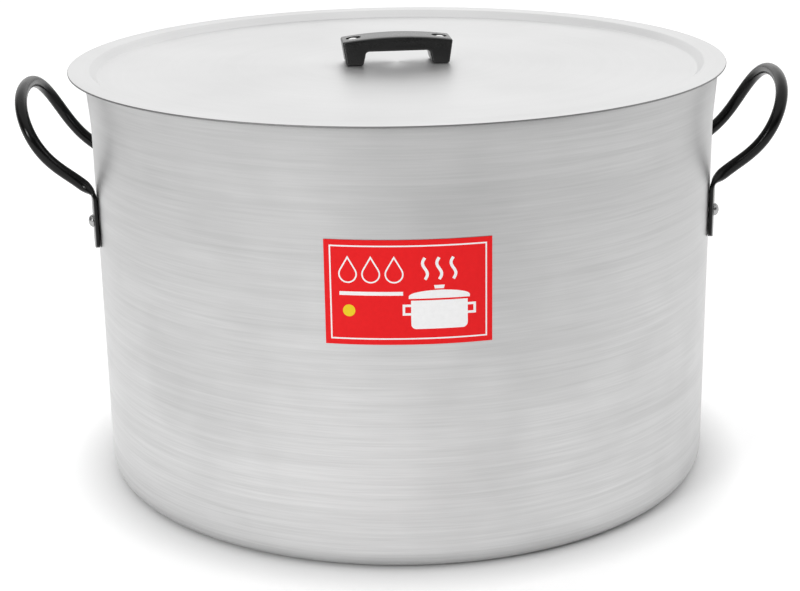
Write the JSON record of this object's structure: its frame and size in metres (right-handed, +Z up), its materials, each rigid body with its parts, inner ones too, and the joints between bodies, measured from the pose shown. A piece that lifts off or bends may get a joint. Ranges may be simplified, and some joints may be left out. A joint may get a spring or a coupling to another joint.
{
  "type": "lidded brew kettle",
  "caption": "Wide spun aluminium brew kettle with a sunk lift-off lid, a black bridge handle on the lid and riveted black loop handles at the sides.",
  "frame": {"origin": "centre of the underside of the base, on the surface that the pot stands on", "axes": "+Z up the pot's axis, +X through the right side handle, -Y towards the label"},
  "size_m": [0.5902, 0.5026, 0.3383],
  "materials": {
    "body_aluminium": "satin, fine turned lines round the pot",
    "lid_aluminium": "satin, fine turned lines round the lid",
    "rivet_aluminium": "smooth, dull polish",
    "lid_rivet_metal": "bright",
    "washer_steel": "dull zinc",
    "handle_coating": "gloss black coating on steel rod",
    "handle_moulding": "moulded black thermoset with a low sheen",
    "label_film": "printed paper label"
  },
  "bodies": {
    "pot": {"pot_body": "body_aluminium", "front_label": "label_film", "side_handle_left": "handle_coating", "side_handle_right": "handle_coating", "side_rivet_left_front": "rivet_aluminium", "side_rivet_left_rear": "rivet_aluminium", "side_rivet_right_front": "rivet_aluminium", "side_rivet_right_rear": "rivet_aluminium"},
    "lid": {"lid": "lid_aluminium", "lid_handle": "handle_moulding", "lid_rivet_left": "lid_rivet_metal", "lid_rivet_right": "lid_rivet_metal", "lid_washer_left": "washer_steel", "lid_washer_right": "washer_steel"}
  },
  "joints": [
    {"name": "lid_lift", "type": "slide", "parent": "pot", "child": "lid", "axis": [0, 0, 1], "range_m": [0, 0.2]}
  ]
}
